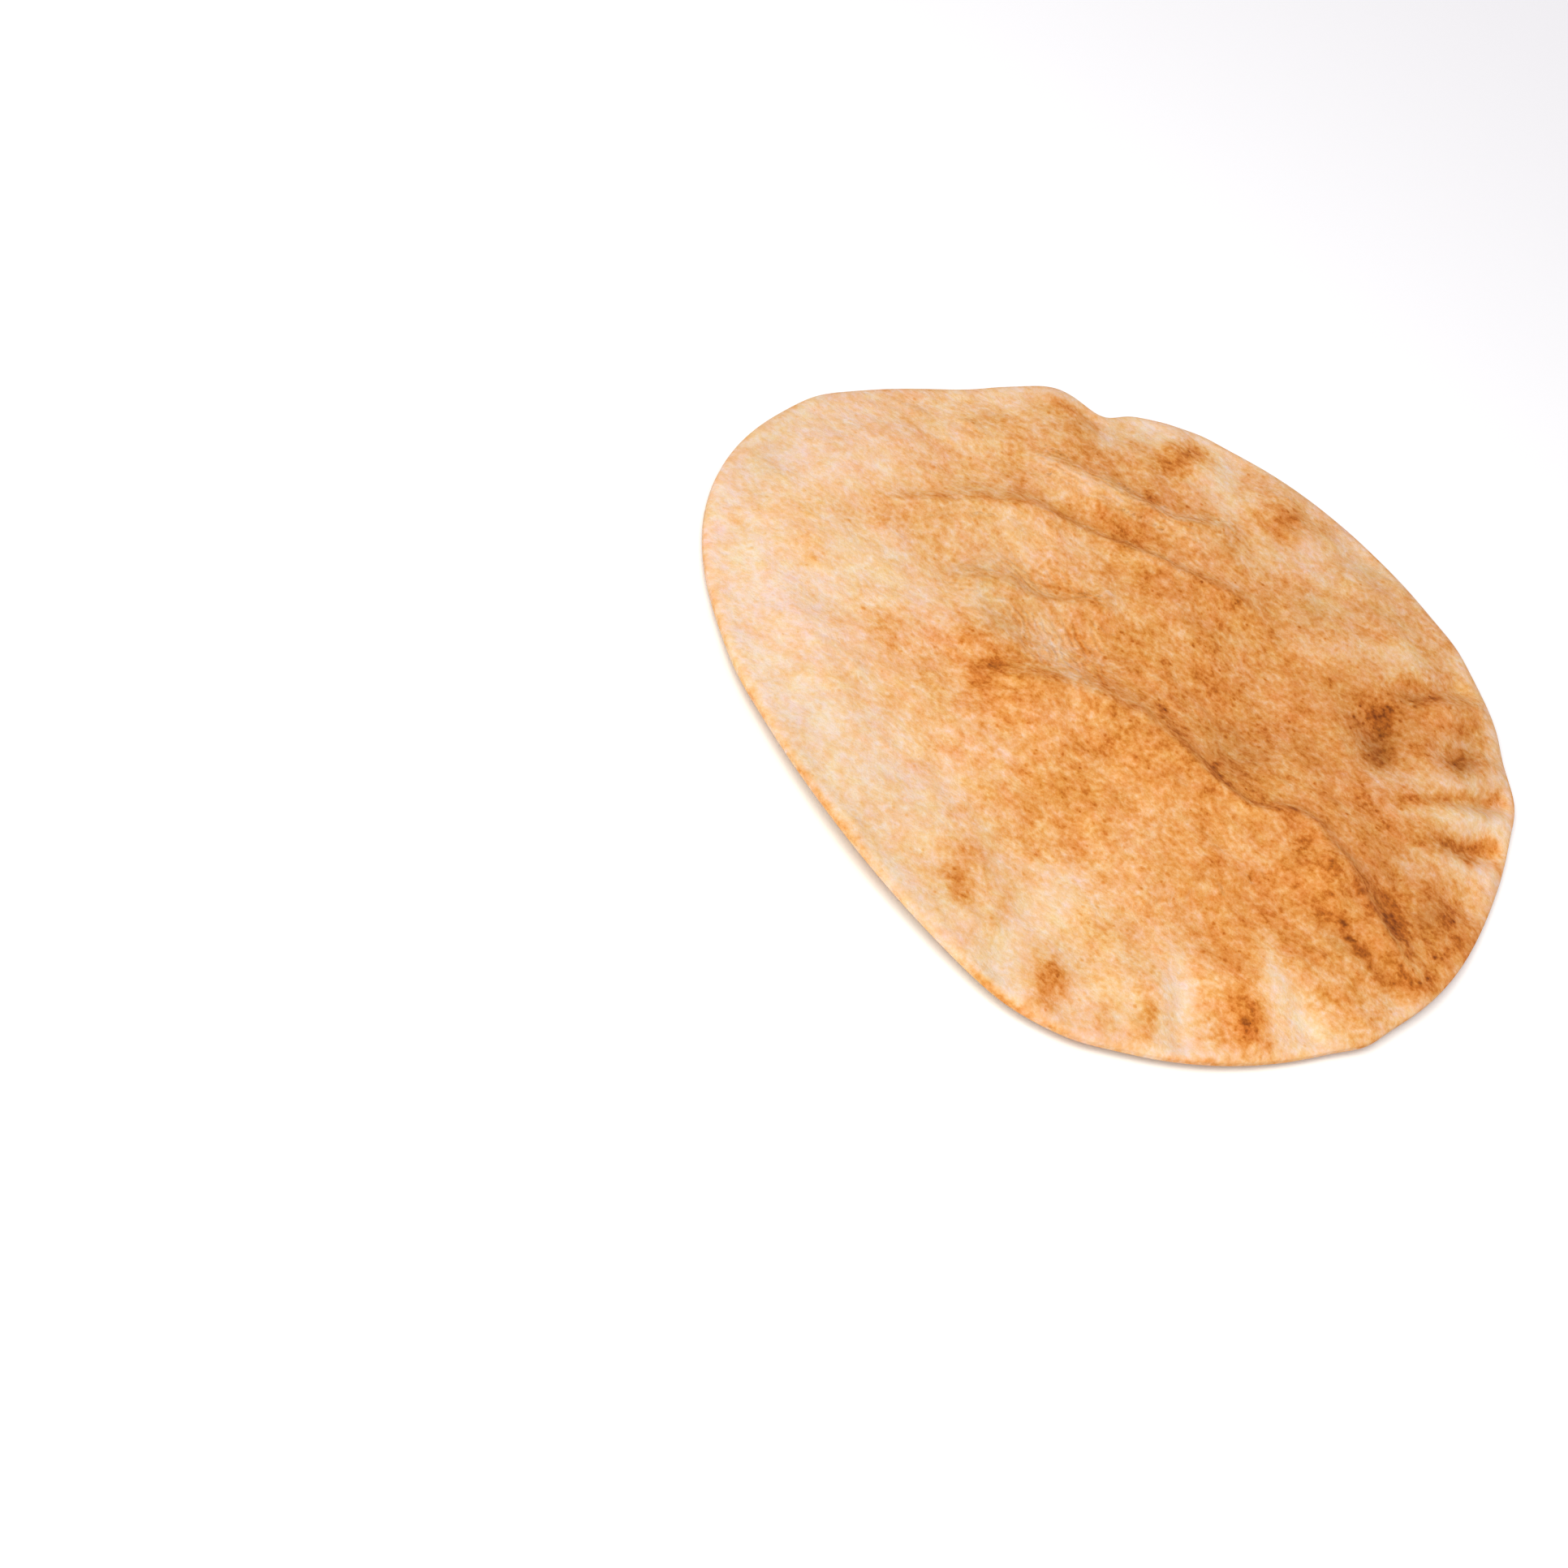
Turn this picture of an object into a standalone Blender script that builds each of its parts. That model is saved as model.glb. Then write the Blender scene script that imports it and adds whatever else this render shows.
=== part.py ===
"""Pita bread: one thin round flatbread with a wavy rim, long soft folds and pinched
pleats round its edge.  It lies on the flat middle of its underside, +Z up, with the
origin at the centre of its footprint on the surface that it lies on."""

import math

import bmesh
import bpy
import numpy as np

MM = 0.001

# ------------------------------------------------------------------ driving sizes
MEAN_RADIUS = 120.0 * MM
RIM_THICKNESS = 3.4 * MM
BODY_THICKNESS = 6.4 * MM
BODY_BLEND = 24.0 * MM          # the wall thickens over this distance in from the rim
EDGE_ROUND = 3.6 * MM           # how far in the rounding of the rim reaches
RELIEF_BLEND = 26.0 * MM        # folds and swellings die out over this distance
PLEAT_BLEND = 6.0 * MM          # pleats run almost to the rim

FLAT_SHARE = 0.42               # share of the radius that lies flat on the surface
LIFT_SHAPE = 1.8                # how the underside curls up from there to the rim
RIM_REST = 0.6 * MM             # the lowest stretches of the rim clear the surface

GRID_CELLS = 48                 # cells across the square that becomes the round
RIM_PACKING = 0.85              # draws the outer rings together at the rim
PACKING_POWER = 4

CRUST_COLOUR = (0.78, 0.47, 0.22, 1.0)
CRUST_ROUGHNESS = 0.72

# The outline departs from a circle by these waves: count, size in mm, phase in degrees
OUTLINE_WAVES = [(2, 1.6, 245), (3, 3.8, 172), (4, 2.1, 317), (5, 0.7, 169), (6, 0.6, 118), (7, 0.5, 118)]
# and by these local dents: angle, half width in degrees, size in mm
OUTLINE_DENTS = [
    (118.5, 5, -7.7), (127, 6, 1.7), (-80, 8, 2.0), (-30, 4, 1.3), (28, 4, 1.1), (36, 4, -1.0), (55, 4, 0.9),
    (102, 3, 0.8), (111, 3, -1.0), (135, 4, 0.8), (166, 5, 1.0), (-72, 4, 0.7), (-136, 6, 0.6),
]

# Where the rim curls up: angle, half width in degrees, height in mm
RIM_LIFTS = [
    (-110, 36, 7.5),
    (-58, 16, 1.6),
    (-18, 20, 3.0),
    (58, 22, 2.6),
    (123, 12, 4.2),
    (168, 22, 3.0),
]

# Long folds of the upper skin.  Each has a route in mm, the height and width of its
# rise, then the height and width of the drop on the left-hand side of its crest.
FOLDS = {
    "long fold": ([(-42, -38), (-26, -27), (-10, -18), (4, -13), (18, -13), (32, -16), (46, -16), (56, -8),
                   (64, -9), (72, -20), (77, -32), (80, -44)], 5.6, 25, 2.2, 5.0),
    "side fold": ([(66, -10), (76, -15), (84, -20), (91, -25), (98, -28), (110, -31)], 2.8, 9, 2.5, 5.0),
    "upper fold": ([(-90, 0), (-80, 9), (-70, 18), (-62, 26), (-50, 35), (-40, 39), (-28, 44), (-16, 48),
                    (-4, 51), (10, 56), (28, 60)], 3.5, 16, 2.2, 4.2),
    "back fold": ([(-66, 59), (-45, 60), (-32, 64), (-25, 67), (-18, 68), (-11, 73), (-5, 79), (3, 90)],
                  2.8, 11, 2.0, 4.2),
    "left fold": ([(-60, -7), (-48, 2), (-38, 5), (-30, 10), (-22, 16), (-10, 21)], 2.2, 10, 1.8, 4.2),
}
FAR_SIDE = 2.2                  # how much more gently a fold dies away past its drop
WAVER = 0.4                     # share by which the drop is sharper or softer along a fold
WAVER_TURNS = 1.6

# Broad swellings and hollows: centre, half widths and height, all in mm
SWELLINGS = [
    (-44, -44, 50, 42, 2.6),
    (34, -46, 44, 30, 1.2),
    (30, 24, 34, 20, -1.3),
    (33, 0, 7, 13, -1.2),
    (-50, 28, 24, 14, 1.0),
    (-2, 32, 16, 14, 0.9),
    (-92, -8, 26, 40, 0.7),
    (65, 44, 8, 13, -2.2),
    (-33, -26, 9, 9, -0.9),
    (92, -10, 12, 11, -3.2),
    (86, 56, 6, 9, -1.8),
    (-27, 0, 24, 15, -2.8),
    (70, -60, 15, 11, 1.0),
]

# Pleats pinched into the rim: start, end, half width and height, all in mm
PLEATS = [
    ((12, 80), (36, 114), 6.0, -1.2),
    ((38, 90), (50, 110), 4.5, 0.9),
    ((60, 60), (77, 85), 3.5, -1.5),
    ((66, 57), (85, 81), 3.5, 1.2),
    ((76, 36), (98, 64), 4.8, 1.3),
    ((80, 29), (104, 55), 3.0, -1.6),
    ((86, 25), (110, 50), 3.2, 1.3),
    ((90, 17), (112, 39), 3.6, -1.6),
    ((86, 8), (114, 27), 4.4, 1.2),
    ((92, -2), (115, 11), 4.4, -1.2),
    ((78, -27), (112, -33), 4.4, 0.9),
    ((96, -40), (112, -44), 4.0, -0.9),
    ((80, -45), (104, -60), 5.0, 0.9),
    ((62, -46), (98, -76), 4.8, -1.3),
    ((62, -62), (84, -90), 7.0, 1.3),
    ((46, -66), (64, -106), 4.4, -1.3),
    ((46, -84), (54, -110), 3.4, 0.8),
    ((38, -78), (42, -116), 3.6, 0.4),
    ((30, -86), (33, -118), 3.6, -0.5),
    ((22, -94), (25, -118), 4.2, 0.7),
    ((12, -70), (12, -118), 4.8, -0.9),
    ((-2, -78), (-8, -112), 4.4, 0.6),
    ((-7, 86), (-10, 118), 6.0, -1.1),
    ((5, 92), (6, 118), 5.5, 0.9),
    ((-26, 86), (-32, 114), 5.0, 1.1),
    ((-42, 80), (-47, 106), 4.0, -0.8),
    ((-52, 82), (-57, 104), 4.0, -1.7),
    ((-62, 80), (-70, 98), 4.5, 0.8),
]

# Slow unevenness of the whole sheet: wavelength in mm, direction and phase in
# degrees, height in mm
UNEVENNESS = [(47, 20, 30, 0.24), (39, 96, 200, 0.22), (31, 148, 75, 0.20), (24, 62, 310, 0.14)]


# ------------------------------------------------------------------ small tools
def smooth_step(low, high, value):
    """0 below low, 1 above high, and a soft S between them."""
    share = np.clip((value - low) / (high - low), 0.0, 1.0)
    return share * share * (3.0 - 2.0 * share)


def turn_between(first, second):
    """The signed turn from one angle to another, in degrees."""
    return (first - second + 180.0) % 360.0 - 180.0


def curve_through(points, steps=8):
    """A smooth curve through the given points (Catmull-Rom), as a dense line."""
    knots = np.array([points[0]] + list(points) + [points[-1]], float) * MM
    share = np.linspace(0.0, 1.0, steps, endpoint=False)[:, None]
    line = []
    for before, start, end, after in zip(knots, knots[1:], knots[2:], knots[3:]):
        bend = 2 * before - 5 * start + 4 * end - after
        twist = 3 * start - before - 3 * end + after
        line.append(0.5 * (2 * start + (end - before) * share + bend * share**2 + twist * share**3))
    line.append(knots[-1:])
    return np.concatenate(line)


def place_along(points, line):
    """For each point: its signed distance from the line, positive on the left-hand
    side, and its share of the way along the line."""
    steps = np.diff(line, axis=0)
    lengths = np.hypot(steps[:, 0], steps[:, 1])
    travelled = np.concatenate([[0.0], np.cumsum(lengths)])
    nearest = np.full(len(points), np.inf)
    side = np.zeros(len(points))
    share = np.zeros(len(points))
    for start, step, length, before in zip(line, steps, lengths, travelled):
        offset = points - start
        along = np.clip(offset @ step / length**2, 0.0, 1.0)
        gap = np.hypot(*(offset - along[:, None] * step).T)
        closer = gap < nearest
        nearest[closer] = gap[closer]
        side[closer] = np.sign(step[0] * offset[closer, 1] - step[1] * offset[closer, 0])
        share[closer] = (before + along[closer] * length) / travelled[-1]
    return nearest * side, share


# ------------------------------------------------------------------ form of the bread
def outline_radius(angle):
    """Distance of the rim from the middle at an angle in radians."""
    radius = np.full_like(angle, MEAN_RADIUS)
    for count, size, phase in OUTLINE_WAVES:
        radius += size * MM * np.cos(count * angle + math.radians(phase))
    for place, width, size in OUTLINE_DENTS:
        radius += size * MM * np.exp(-((turn_between(np.degrees(angle), place) / width) ** 2))
    return radius


def rim_lift(angle):
    """Height of the rim's underside above the surface."""
    height = np.full_like(angle, RIM_REST)
    for place, width, size in RIM_LIFTS:
        height += size * MM * np.exp(-((turn_between(np.degrees(angle), place) / width) ** 2))
    return height


def fold_height(points):
    """The long folds: each rises to a crease and drops off on its left-hand side."""
    height = np.zeros(len(points))
    for route, crest, width, drop, drop_width in FOLDS.values():
        across, share = place_along(points, curve_through(route))
        ends = smooth_step(0.0, 0.2, share) * smooth_step(1.0, 0.8, share)
        reach = width * MM * np.where(across > 0, FAR_SIDE, 1.0)
        rise = np.exp(-abs(across) / reach)
        sharpness = 1.0 + WAVER * np.cos(math.tau * WAVER_TURNS * share)
        fall = np.where(across > 0, np.exp(-((across * sharpness / (drop_width * MM)) ** 2)), rise)
        height += ((crest - drop) * rise + drop * fall) * MM * ends
    return height


def swelling_height(points):
    height = np.zeros(len(points))
    for east, north, half_east, half_north, size in SWELLINGS:
        offset = (points / MM - (east, north)) / (half_east, half_north)
        height += size * MM * np.exp(-(offset ** 2).sum(axis=1))
    return height


def pleat_height(points):
    """The pinched pleats: each rises from nothing and is deepest at the rim."""
    height = np.zeros(len(points))
    for start, end, width, size in PLEATS:
        across, share = place_along(points, np.array([start, end]) * MM)
        height += size * MM * np.exp(-((across / (width * MM)) ** 2)) * smooth_step(0.0, 0.6, share)
    return height


def unevenness(points):
    height = np.zeros(len(points))
    for wavelength, direction, phase, size in UNEVENNESS:
        heading = np.array([math.cos(math.radians(direction)), math.sin(math.radians(direction))])
        turns = (points @ heading) / (wavelength * MM)
        height += size * MM * np.sin(math.tau * turns + math.radians(phase))
    return height


def skins(share, angle):
    """Plan positions, and the heights of the upper and the lower skin, for points
    given by their share of the way out to the rim and their angle."""
    radius = outline_radius(angle)
    points = (share * radius)[:, None] * np.stack([np.cos(angle), np.sin(angle)], 1)
    inward = (1.0 - share) * radius
    underside = rim_lift(angle) * np.clip((share - FLAT_SHARE) / (1.0 - FLAT_SHARE), 0.0, 1.0) ** LIFT_SHAPE
    wall = RIM_THICKNESS + (BODY_THICKNESS - RIM_THICKNESS) * smooth_step(0.0, BODY_BLEND, inward)
    relief = fold_height(points) + swelling_height(points) + unevenness(points)
    wall += relief * smooth_step(0.0, RELIEF_BLEND, inward)
    wall += pleat_height(points) * smooth_step(-1 * MM, PLEAT_BLEND, inward)
    middle = underside + RIM_THICKNESS / 2
    closing = np.sqrt(1.0 - (1.0 - np.clip(inward / EDGE_ROUND, 0.0, 1.0)) ** 2)
    upper = middle + (underside + wall - middle) * closing
    lower = middle + (underside - middle) * closing
    return points, upper, lower


# ------------------------------------------------------------------ building
def square_to_round(square):
    """Carries a square grid onto the round: its square rings become round rings."""
    across, up = square[:, 0], square[:, 1]
    ring = np.maximum(abs(across), abs(up))
    beside = abs(across) > abs(up)
    long_side = np.where(beside, across, up)
    short_side = np.where(beside, up, across)
    slant = math.pi / 4 * short_side / np.where(long_side == 0.0, 1.0, long_side)
    sideways = slant + np.where(across < 0, math.pi, 0.0)
    upright = np.sign(up) * math.pi / 2 - slant
    share = ring + RIM_PACKING * ring**PACKING_POWER * (1.0 - ring)
    return share, np.where(beside, sideways, upright)


def add_sheet(bm, upper_side):
    """One skin of the bread, as a grid pressed into shape."""
    sheet = bmesh.ops.create_grid(bm, x_segments=GRID_CELLS, y_segments=GRID_CELLS, size=1.0)["verts"]
    share, angle = square_to_round(np.array([vertex.co for vertex in sheet], float))
    points, upper, lower = skins(share, angle)
    heights = upper if upper_side else lower
    for vertex, point, height in zip(sheet, points, heights):
        vertex.co = (point[0], point[1], height)


def footprint_centre():
    """Middle of the outline's bounding box, where the origin belongs."""
    angle = np.linspace(-math.pi, math.pi, 4 * GRID_CELLS, endpoint=False)
    rim = skins(np.ones_like(angle), angle)[0]
    return (rim.max(0) + rim.min(0)) / 2


def crust_material():
    material = bpy.data.materials.new("baked_crust")
    material.use_nodes = True
    shader = material.node_tree.nodes["Principled BSDF"]
    shader.inputs["Base Color"].default_value = CRUST_COLOUR
    shader.inputs["Roughness"].default_value = CRUST_ROUGHNESS
    shader.inputs["Metallic"].default_value = 0.0
    return material


def build_pita(collection):
    """The whole bread: two skins that share the rim's row of points."""
    bm = bmesh.new()
    add_sheet(bm, upper_side=True)
    add_sheet(bm, upper_side=False)
    bmesh.ops.remove_doubles(bm, verts=bm.verts, dist=0.001 * MM)
    bmesh.ops.recalc_face_normals(bm, faces=bm.faces)
    bmesh.ops.triangulate(bm, faces=bm.faces, quad_method="SHORT_EDGE")
    centre = footprint_centre()
    bmesh.ops.translate(bm, verts=bm.verts, vec=(-centre[0], -centre[1], 0.0))
    mesh = bpy.data.meshes.new("pita")
    bm.to_mesh(mesh)
    bm.free()
    mesh.shade_smooth()
    mesh.materials.append(crust_material())
    pita = bpy.data.objects.new("pita", mesh)
    collection.objects.link(pita)
    return pita


def main():
    for leftover in list(bpy.data.objects):
        bpy.data.objects.remove(leftover)
    collection = bpy.data.collections.new("pita_bread")
    bpy.context.scene.collection.children.link(collection)
    build_pita(collection)


main()
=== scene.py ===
"""Looks of the pita bread: one thin round with two baked skins pinched together at the
rim, long soft folds, pleats round the edge, and a floury margin that runs through golden
toast into brown scorched spots."""

import math

import bmesh
import bpy
import numpy as np
from mathutils import Matrix, Vector


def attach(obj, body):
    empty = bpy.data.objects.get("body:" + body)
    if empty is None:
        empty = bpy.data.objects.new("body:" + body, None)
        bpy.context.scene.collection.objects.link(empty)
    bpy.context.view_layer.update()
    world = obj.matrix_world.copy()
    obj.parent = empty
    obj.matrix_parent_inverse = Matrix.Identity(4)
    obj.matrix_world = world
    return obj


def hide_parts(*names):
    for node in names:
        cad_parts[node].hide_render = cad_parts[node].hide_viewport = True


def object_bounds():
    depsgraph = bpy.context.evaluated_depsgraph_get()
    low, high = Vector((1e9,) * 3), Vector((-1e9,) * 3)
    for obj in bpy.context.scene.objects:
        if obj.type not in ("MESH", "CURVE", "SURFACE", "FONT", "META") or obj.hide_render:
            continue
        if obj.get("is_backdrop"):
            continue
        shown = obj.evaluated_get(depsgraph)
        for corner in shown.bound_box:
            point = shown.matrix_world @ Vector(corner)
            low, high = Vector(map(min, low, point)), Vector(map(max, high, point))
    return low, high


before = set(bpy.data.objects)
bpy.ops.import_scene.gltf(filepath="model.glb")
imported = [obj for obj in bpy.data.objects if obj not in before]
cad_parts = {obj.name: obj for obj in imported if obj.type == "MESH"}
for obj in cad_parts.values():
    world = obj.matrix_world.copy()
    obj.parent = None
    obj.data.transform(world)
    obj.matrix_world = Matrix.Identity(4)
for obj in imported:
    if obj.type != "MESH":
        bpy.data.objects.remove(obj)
cad_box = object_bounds()

MM = 0.001

# ------------------------------------------------------------------ form of the bread
# The same driving sizes and rules as the solid's, on a much finer mesh.
MEAN_RADIUS = 120.0 * MM
RIM_THICKNESS = 3.4 * MM
BODY_THICKNESS = 6.4 * MM
BODY_BLEND = 24.0 * MM          # this far in from the rim the body has its own thickness
EDGE_ROUND = 3.6 * MM           # the skins close round the rim over this distance
RELIEF_BLEND = 26.0 * MM        # folds and swellings are at their full height this far in
PLEAT_START = -1.0 * MM         # just outside the rim, so it keeps a trace of each pleat
PLEAT_BLEND = 6.0 * MM
PLEAT_RISE = 0.6                # share of a pleat's length over which it grows
FLAT_SHARE = 0.42               # share of the radius that lies flat
LIFT_SHAPE = 1.8                # power of the curve from there up to the rim
RIM_REST = 0.6 * MM             # height of the rim's underside between the curls

# Waves round the outline: how many, size in mm, phase in degrees
OUTLINE_WAVES = [(2, 1.6, 245), (3, 3.8, 172), (4, 2.1, 317), (5, 0.7, 169), (6, 0.6, 118), (7, 0.5, 118)]
# Dents and bulges of the outline: angle and half width in degrees, size in mm
OUTLINE_DENTS = [
    (118.5, 5, -7.7), (127, 6, 1.7), (-80, 8, 2.0), (-30, 4, 1.3), (28, 4, 1.1), (36, 4, -1.0), (55, 4, 0.9),
    (102, 3, 0.8), (111, 3, -1.0), (135, 4, 0.8), (166, 5, 1.0), (-72, 4, 0.7), (-136, 6, 0.6),
]

# Where the rim curls up: angle, half width in degrees, height in mm
RIM_LIFTS = [
    (-110, 36, 7.5),
    (-58, 16, 1.6),
    (-18, 20, 3.0),
    (58, 22, 2.6),
    (123, 12, 4.2),
    (168, 22, 3.0),
]

# Route in mm, height and width of the rise, then the height and width of the drop on the
# left-hand side of the crest
FOLDS = {
    "long fold": ([(-42, -38), (-26, -27), (-10, -18), (4, -13), (18, -13), (32, -16), (46, -16), (56, -8),
                   (64, -9), (72, -20), (77, -32), (80, -44)], 5.6, 25, 2.2, 5.0),
    "side fold": ([(66, -10), (76, -15), (84, -20), (91, -25), (98, -28), (110, -31)], 2.8, 9, 2.5, 5.0),
    "upper fold": ([(-90, 0), (-80, 9), (-70, 18), (-62, 26), (-50, 35), (-40, 39), (-28, 44), (-16, 48),
                    (-4, 51), (10, 56), (28, 60)], 3.5, 16, 2.2, 4.2),
    "back fold": ([(-66, 59), (-45, 60), (-32, 64), (-25, 67), (-18, 68), (-11, 73), (-5, 79), (3, 90)],
                  2.8, 11, 2.0, 4.2),
    "left fold": ([(-60, -7), (-48, 2), (-38, 5), (-30, 10), (-22, 16), (-10, 21)], 2.2, 10, 1.8, 4.2),
}
FAR_SIDE = 2.2                  # how much more gently a fold dies away past its drop
FOLD_FADE = 0.2                 # share of a fold's route over which each end dies away
WAVER = 0.4                     # share by which the drop is sharper or softer along a fold
WAVER_TURNS = 1.6               # how often it changes from sharp to soft and back

# Centre, half widths and height, all in mm
SWELLINGS = [
    (-44, -44, 50, 42, 2.6),
    (34, -46, 44, 30, 1.2),
    (30, 24, 34, 20, -1.3),
    (33, 0, 7, 13, -1.2),
    (-50, 28, 24, 14, 1.0),
    (-2, 32, 16, 14, 0.9),
    (-92, -8, 26, 40, 0.7),
    (65, 44, 8, 13, -2.2),
    (-33, -26, 9, 9, -0.9),
    (92, -10, 12, 11, -3.2),
    (86, 56, 6, 9, -1.8),
    (-27, 0, 24, 15, -2.8),
    (70, -60, 15, 11, 1.0),
]

# Start, end, half width and height, all in mm
PLEATS = [
    ((12, 80), (36, 114), 6.0, -1.2),
    ((38, 90), (50, 110), 4.5, 0.9),
    ((60, 60), (77, 85), 3.5, -1.5),
    ((66, 57), (85, 81), 3.5, 1.2),
    ((76, 36), (98, 64), 4.8, 1.3),
    ((80, 29), (104, 55), 3.0, -1.6),
    ((86, 25), (110, 50), 3.2, 1.3),
    ((90, 17), (112, 39), 3.6, -1.6),
    ((86, 8), (114, 27), 4.4, 1.2),
    ((92, -2), (115, 11), 4.4, -1.2),
    ((78, -27), (112, -33), 4.4, 0.9),
    ((96, -40), (112, -44), 4.0, -0.9),
    ((80, -45), (104, -60), 5.0, 0.9),
    ((62, -46), (98, -76), 4.8, -1.3),
    ((62, -62), (84, -90), 7.0, 1.3),
    ((46, -66), (64, -106), 4.4, -1.3),
    ((46, -84), (54, -110), 3.4, 0.8),
    ((38, -78), (42, -116), 3.6, 0.4),
    ((30, -86), (33, -118), 3.6, -0.5),
    ((22, -94), (25, -118), 4.2, 0.7),
    ((12, -70), (12, -118), 4.8, -0.9),
    ((-2, -78), (-8, -112), 4.4, 0.6),
    ((-7, 86), (-10, 118), 6.0, -1.1),
    ((5, 92), (6, 118), 5.5, 0.9),
    ((-26, 86), (-32, 114), 5.0, 1.1),
    ((-42, 80), (-47, 106), 4.0, -0.8),
    ((-52, 82), (-57, 104), 4.0, -1.7),
    ((-62, 80), (-70, 98), 4.5, 0.8),
]

# Wavelength in mm, direction and phase in degrees, height in mm
UNEVENNESS = [(47, 20, 30, 0.24), (39, 96, 200, 0.22), (31, 148, 75, 0.20), (24, 62, 310, 0.14)]

# ------------------------------------------------------------------ browning of the crust, and painted shade and light
# Browning runs from 0, raw and floury, through 0.5, golden, to 1 and over, scorched.
FLOURY = 0.14                   # browning of the palest skin
TOAST_SPAN = 0.71               # what a full toasted field adds to it
MOTTLE_ON_FLOUR = 0.35          # share of the mottle that shows on the palest skin

# Random mottle: strength, size of the patches in mm, seed
TOAST_MOTTLE = [(0.10, 9, 7), (0.12, 5, 8), (0.10, 2.6, 9)]
CREASE_MOTTLE = [(0.5, 9, 11)]
TONE_MOTTLE = [(0.03, 6, 14)]
RIM_MOTTLE = [(0.14, 5, 15)]
STONE_MOTTLE = [(0.10, 8, 31), (0.08, 4, 32)]

# How far marks stray from their places in mm, in patches of what size in mm, and a seed
BROAD_STRAY = (1.0, 11, 3)
RAGGED_STRAY = (1.1, 4, 5)
FIELD_STRAY = (1.5, 11, 3)
SHADE_AND_TONE_STRAY = (1.6, 7, 12)

# Painted shade: the skin is painted browner in the drop of each fold, where shade falls:
# how far to the left of its crest and how wide in mm, how much browner, and the shares
# of its route where this starts and stops
PAINTED_CREASE_SHADE = {
    "long fold": (3.0, 3.6, 0.12, 0.25, 0.75),
    "side fold": (5.0, 3.0, 0.10, 0.0, 1.0),
    "upper fold": (2.2, 2.0, 0.12, 0.0, 1.0),
    "back fold": (5.5, 3.0, 0.18, 0.0, 0.9),
    "left fold": (1.6, 1.6, 0.13, 0.0, 1.0),
}
CREASE_DEPTH = 0.8              # share of that painted shade which every part of a crease has
CREASE_FADE = 0.2               # share of the route over which each end dies away

# Toasted fields of the upper skin: centre, half length and half width in mm, direction
# of the length in degrees, strength.  Where fields overlap they fill each other up.
TOASTED_FIELDS = [
    (22, 14, 62, 44, 0, 0.84),
    (8, 50, 52, 20, 8, 0.66),
    (20, -12, 36, 14, 0, 0.50),
    (16, 42, 18, 10, 0, 0.40),
    (82, 10, 24, 22, 0, 0.66),
    (66, 60, 22, 22, -35, 0.74),
    (38, 92, 24, 15, -20, 0.50),
    (56, 102, 9, 7, 0, 0.4),
    (-54, 72, 28, 13, 15, 0.56),
    (-66, 50, 10, 10, 0, 0.30),
    (-36, 44, 34, 18, 25, 0.28),
    (-68, 18, 15, 30, 0, 0.42),
    (-94, 44, 20, 24, -35, 0.22),
    (-20, 70, 44, 9, 8, 0.30),
    (-26, 84, 16, 10, 0, 0.40),
    (-2, 86, 16, 9, 0, 0.50),
    (20, 76, 18, 8, 0, 0.50),
    (8, 105, 22, 12, 0, 0.42),
    (-96, -12, 10, 14, 0, 0.18),
    (-80, 0, 12, 10, 0, 0.32),
    (-112, -24, 5, 18, 15, 0.12),
    (-42, -20, 9, 9, 0, 0.50),
    (-28, -29, 16, 15, 0, 0.80),
    (-54, -34, 18, 7, 0, 0.34),
    (-36, 5, 18, 9, 15, 0.28),
    (-54, -42, 18, 12, 0, 0.36),
    (-50, -60, 14, 12, 0, 0.28),
    (-26, -60, 18, 14, 0, 0.36),
    (2, -44, 16, 40, 0, 0.62),
    (-12, -90, 17, 18, 0, 0.38),
    (34, -44, 34, 26, 0, 0.66),
    (36, -86, 22, 22, 0, 0.40),
    (60, -58, 12, 24, 12, 0.78),
    (86, -18, 36, 25, 0, 0.90),
    (109, -5, 10, 13, 0, 0.75),
    (82, 78, 15, 17, -45, 0.55),
    (99, 68, 8, 10, 0, 0.30),
    (103, 56, 7, 10, 0, 0.45),
    (86, -50, 22, 12, -20, 0.66),
    (103, -38, 6, 14, 0, 0.50),
    (73, -82, 12, 12, 0, 0.5),
    (10, -108, 42, 12, -8, 0.16),
]

# Floury streaks where the skin was pleated away from the heat: start, end, half width
# in mm, strength
PALE_STREAKS = [
    ((-76, -6), (-66, -20), 9, 0.6),
    ((-50, -6), (-40, -10), 6, 0.35),
    ((-30, 3), (-11, -13), 3.5, 0.5),
    ((-56, 58), (-34, 64), 4, 0.35),
    ((-50, 24), (-28, 36), 8, 0.22),
    ((-46, 80), (-44, 92), 3, 0.45),
    ((-36, 100), (-32, 115), 5, 0.6),
    ((-7, 91), (-14, 110), 5.5, 0.66),
    ((9, 73), (20, 98), 5.0, 0.52),
    ((20, 98), (28, 112), 5, 0.4),
    ((28, 90), (34, 108), 4, 0.4),
    ((42, 66), (56, 78), 5.0, 0.5),
    ((58, 82), (70, 96), 3.5, 0.5),
    ((70, 28), (86, 44), 3.2, 0.46),
    ((86, 44), (99, 62), 3.2, 0.55),
    ((80, 22), (94, 33), 3.0, 0.50),
    ((94, 33), (107, 45), 4.0, 0.66),
    ((88, 4), (103, 9), 3.0, 0.5),
    ((93, 11), (113, 24), 3.4, 0.55),
    ((84, 90), (104, 62), 3.6, 0.6),
    ((106, 56), (113, 38), 5, 0.8),
    ((107, -41), (109, -46), 3.6, 0.8),
    ((65, -52), (76, -64), 3.6, 0.66),
    ((77, -65), (94, -69), 6.0, 0.72),
    ((48, -74), (56, -90), 4, 0.8),
    ((56, -90), (67, -104), 5.5, 0.85),
    ((13, -74), (12, -114), 6.5, 0.75),
    ((-22, -70), (-20, -96), 6, 0.4),
]

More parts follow.
